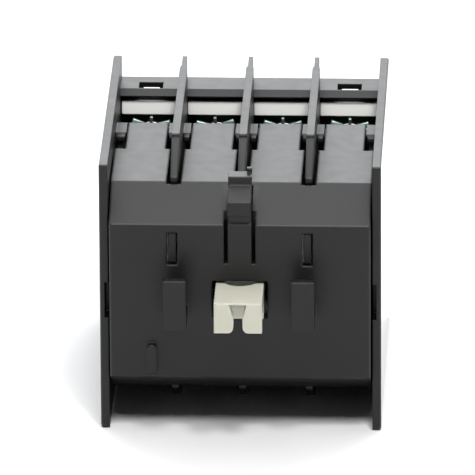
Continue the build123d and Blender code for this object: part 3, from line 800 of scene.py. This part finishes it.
@dataclass
class Enclosure:
    """Front housing, rear cover and the blank label plates."""

    layout: Layout = Layout()
    crisp_edge_mm: float = 0.02
    label_rear_y_mm: float = 44.1
    label_wall_y_mm: float = 48.55
    label_front_y_mm: float = 50.65
    label_rear_z_mm: Span = (14.93, 16.98)
    label_front_z_mm: Span = (14.62, 16.11)
    label_floor_mm: float = 15.45
    # How far the tray's back leans, its thickness, and how far its foot comes forward
    label_lean_mm: float = 0.74
    label_back_mm: float = 0.7
    label_foot_mm: float = 0.2
    # How far the face reaches into the tray's wall
    label_overlap_mm: float = 0.4
    # Free space at each end, and rounding, of the tray and of the face
    tray_side_mm: float = 0.06
    tray_bevel_mm: float = 0.18
    face_side_mm: float = 0.32
    face_bevel_mm: float = 0.12
    seat_depths_mm: Span = (47.1, 47.7)
    seat_heights_mm: Span = (15.5, 17.75)
    seat_side_mm: float = 0.03
    seat_bevel_mm: float = 0.1

    def across(self, outline_mm: list[Corner], pole: int, gap_mm: float, bevel_mm: float) -> bmesh.types.BMesh:
        """Extrude a side profile over the width of one well.

        Args:
            outline_mm: Corners as depth Y and height Z.
            pole: Number of the pole, from the left.
            gap_mm: Free space at each end.
            bevel_mm: Width of the rounding.

        Returns:
            The closed shape.
        """
        centre, half = self.layout.centre_mm(pole), self.layout.half_well_mm - gap_mm
        return prism(outline_mm, centre - half, centre + half, bevel_mm)

    def label_plate(self, pole: int, side: Side, material: bpy.types.Material) -> None:
        """Build one blank label in place of its plain solid: a tray whose back stands under the shelf's lip.

        Args:
            pole: Number of the pole, from the left.
            side: Upper or lower row.
            material: The finish.
        """
        node = f"label_plate_{pole}_{side.row}"
        (low_z, high_z), floor_z = self.label_rear_z_mm, self.label_floor_mm
        rear_y, wall_y, lean = self.label_rear_y_mm, self.label_wall_y_mm, self.label_lean_mm
        back_y = rear_y + self.label_back_mm
        tray = [
            (rear_y, low_z), (rear_y + lean, high_z), (back_y + lean, high_z),
            (back_y + self.label_foot_mm, floor_z), (wall_y, floor_z), (wall_y, low_z),
        ]
        face = oblong((wall_y - self.label_overlap_mm, self.label_front_y_mm), self.label_front_z_mm)
        parts = [
            self.across(side.flip(tray), pole, self.tray_side_mm, self.tray_bevel_mm),
            self.across(side.flip(face), pole, self.face_side_mm, self.face_bevel_mm),
        ]
        piece = add_piece(joined(parts), f"blank_label_{pole}_{side.row}", "housing", material)
        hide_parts(node)

    def label_seats(self, side: Side, material: bpy.types.Material) -> None:
        """Build the ribs under a shelf that the label trays clip behind.

        Args:
            side: Upper or lower row.
            material: The housing's finish.
        """
        outline = side.flip(oblong(self.seat_depths_mm, self.seat_heights_mm))
        ribs = [self.across(outline, pole, self.seat_side_mm, self.seat_bevel_mm) for pole in self.layout.poles]
        add_piece(joined(ribs), f"label_seat_ribs_{side.row}", "housing", material)

    def build(self, palette: Palette) -> None:
        """Dress the mouldings and build their details, the labels and the labels' seats.

        Args:
            palette: The finishes.
        """
        housing, cover = palette.housing.build(), palette.cover.build()
        dress("front_housing", housing)
        dress("rear_cover", cover)
        crisp = replace(palette.cover, name="glass_filled_nylon_step", edge_mm=self.crisp_edge_mm)
        MouldedDetails().build(housing, cover, crisp.build())
        for side in Side:
            self.label_seats(side, housing)
        white = palette.label.build()
        for pole in self.layout.poles:
            for side in Side:
                self.label_plate(pole, side, white)


@dataclass
class ContactSystem:
    """Carrier, bridge contacts, fixed contacts and springs."""

    layout: Layout = Layout()

    def build(self, palette: Palette) -> None:
        """Dress the moving contact system.

        Args:
            palette: The finishes.
        """
        dress("contact_carrier", palette.carrier.build())
        brass, wire = palette.brass.build(), palette.wire.build()
        for pole in self.layout.poles:
            dress(f"bridge_contact_{pole}", brass)
            dress(f"contact_spring_{pole}", wire)
            for side in Side:
                dress(f"fixed_contact_{pole}_{side.row}", brass)
        for hand in Hand:
            dress(f"return_spring_{hand.word}", wire)


@dataclass
class TerminalHardware:
    """Clamp screws and bent saddle washers."""

    layout: Layout = Layout()
    screw_z_mm: float = 10.2
    # Loose washers settle a little turned about their screws
    settled_turn_deg: tuple[float, ...] = (2.5, -3.0, 0.5, 2.0)
    # The plate, with cut upper corners and a bore for the screw
    half_width_mm: float = 4.35
    foot_z_mm: float = 7.2
    shoulder_z_mm: float = 12.6
    rim_z_mm: float = 13.5
    rim_corner_mm: float = 1.2
    bore_mm: float = 3.55
    bore_segments: int = 24
    rear_y_mm: float = 42.4
    thickness_mm: float = 0.85
    # The wings along its sides
    wing_sides_mm: Span = (3.75, 4.35)
    wing_depth_mm: float = 41.6
    wing_bevel_mm: float = 0.12
    # The ears; their heights and the point that they slant about are measured from the screw's axis
    ear_sides_mm: Span = (1.15, 3.2)
    ear_heights_mm: Span = (2.7, 4.15)
    ear_lean_mm: float = 0.35
    ear_bevel_mm: float = 0.14
    ear_pivot_mm: tuple[float, float] = (2.2, 3.6)
    ear_slant_deg: float = 17.0
    # The guide nose; its foot is measured from the screw's axis
    nose_half_mm: float = 0.25
    nose_foot_mm: float = 3.1
    nose_top_mm: float = 15.1
    nose_inset_mm: float = 0.1
    nose_bevel_mm: float = 0.1

    def plate(self) -> bmesh.types.BMesh:
        """Build the plate with its bore, centred on the screw's axis.

        Returns:
            The closed shape.
        """
        shape = bmesh.new()
        low, shoulder, rim = (z - self.screw_z_mm for z in (self.foot_z_mm, self.shoulder_z_mm, self.rim_z_mm))
        half, corner = self.half_width_mm, self.rim_corner_mm
        outline = [
            (-half, low), (half, low), (half, shoulder), (half - corner, rim), (corner - half, rim), (-half, shoulder)
        ]
        corners = [shape.verts.new((x * MM, self.rear_y_mm * MM, z * MM)) for x, z in outline]
        border = [shape.edges.new((a, b)) for a, b in zip(corners, corners[1:] + corners[:1])]
        upright = Matrix.Translation((0, self.rear_y_mm * MM, 0)) @ Matrix.Rotation(math.radians(90), 4, "X")
        bore = bmesh.ops.create_circle(
            shape, segments=self.bore_segments, radius=self.bore_mm / 2 * MM, matrix=upright
        )["verts"]
        ring = list({edge for vert in bore for edge in vert.link_edges})
        bmesh.ops.bridge_loops(shape, edges=border + ring)
        thicken(shape, (0, self.thickness_mm * MM, 0))
        bmesh.ops.recalc_face_normals(shape, faces=shape.faces)
        return shape

    def ear(self, hand: Hand) -> bmesh.types.BMesh:
        """Build one slanted ear, centred on the screw's axis.

        Args:
            hand: Left or right ear.

        Returns:
            The closed shape.
        """
        rear, front = self.rear_y_mm, self.rear_y_mm + self.thickness_mm
        low, high = self.ear_heights_mm
        outline = [(rear, low), (rear + self.ear_lean_mm, high), (front, high), (front, low)]
        ear = prism(outline, *hand.span(self.ear_sides_mm), self.ear_bevel_mm)
        pivot_x, pivot_z = self.ear_pivot_mm
        slant = Matrix.Rotation(-hand.value * math.radians(self.ear_slant_deg), 3, "Y")
        bmesh.ops.rotate(ear, verts=ear.verts, cent=(hand.value * pivot_x * MM, 0, pivot_z * MM), matrix=slant)
        return ear

    def bent_parts(self) -> list[bmesh.types.BMesh]:
        """Build the wings, the ears and the guide nose of a washer, centred on the screw's axis.

        Returns:
            The closed shapes.
        """
        rear, front = self.rear_y_mm, self.rear_y_mm + self.thickness_mm
        low, shoulder, top = (z - self.screw_z_mm for z in (self.foot_z_mm, self.shoulder_z_mm, self.nose_top_mm))
        wing = oblong((self.wing_depth_mm, rear), (low, shoulder))
        nose = oblong((rear + self.nose_inset_mm, front - self.nose_inset_mm), (self.nose_foot_mm, top))
        parts = []
        for hand in reversed(Hand):
            parts += [prism(wing, *hand.span(self.wing_sides_mm), self.wing_bevel_mm), self.ear(hand)]
        parts.append(prism(nose, -self.nose_half_mm, self.nose_half_mm, self.nose_bevel_mm))
        return parts

    def washer(self, pole: int, side: Side, material: bpy.types.Material) -> None:
        """Build one saddle washer in place of its plain solid.

        Args:
            pole: Number of the pole, from the left.
            side: Upper or lower row.
            material: The finish.
        """
        shape = joined([self.plate(), *self.bent_parts()])
        settle = Matrix.Rotation(math.radians(self.settled_turn_deg[pole - 1]), 4, "Y")
        flip = Matrix.Scale(side.value, 4, (0, 0, 1))
        place = Matrix.Translation((self.layout.centre_mm(pole) * MM, 0, side.value * self.screw_z_mm * MM))
        bmesh.ops.transform(shape, verts=shape.verts, matrix=place @ flip @ settle)
        bmesh.ops.recalc_face_normals(shape, faces=shape.faces)
        row = side.row
        piece = add_piece(shape, f"saddle_washer_{pole}_{row}", f"clamp_{pole}_{row}", material)
        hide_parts(f"clamp_washer_{pole}_{row}")

    def build(self, palette: Palette) -> None:
        """Dress the screws and build the washers.

        Args:
            palette: The finishes.
        """
        # The washers' finish is a little darker than the screws' zinc: painted shade of the terminal wells
        zinc, shaded_washer_zinc = palette.zinc.build(), palette.washer.build()
        for pole in self.layout.poles:
            for side in Side:
                dress(f"terminal_screw_{pole}_{side.row}", zinc)
                self.washer(pole, side, shaded_washer_zinc)


def main() -> None:
    logging.basicConfig(level=logging.INFO)
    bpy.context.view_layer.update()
    palette = Palette()
    Studio().build()
    Enclosure().build(palette)
    ContactSystem().build(palette)
    TerminalHardware().build(palette)


if __name__ == "__main__":
    main()
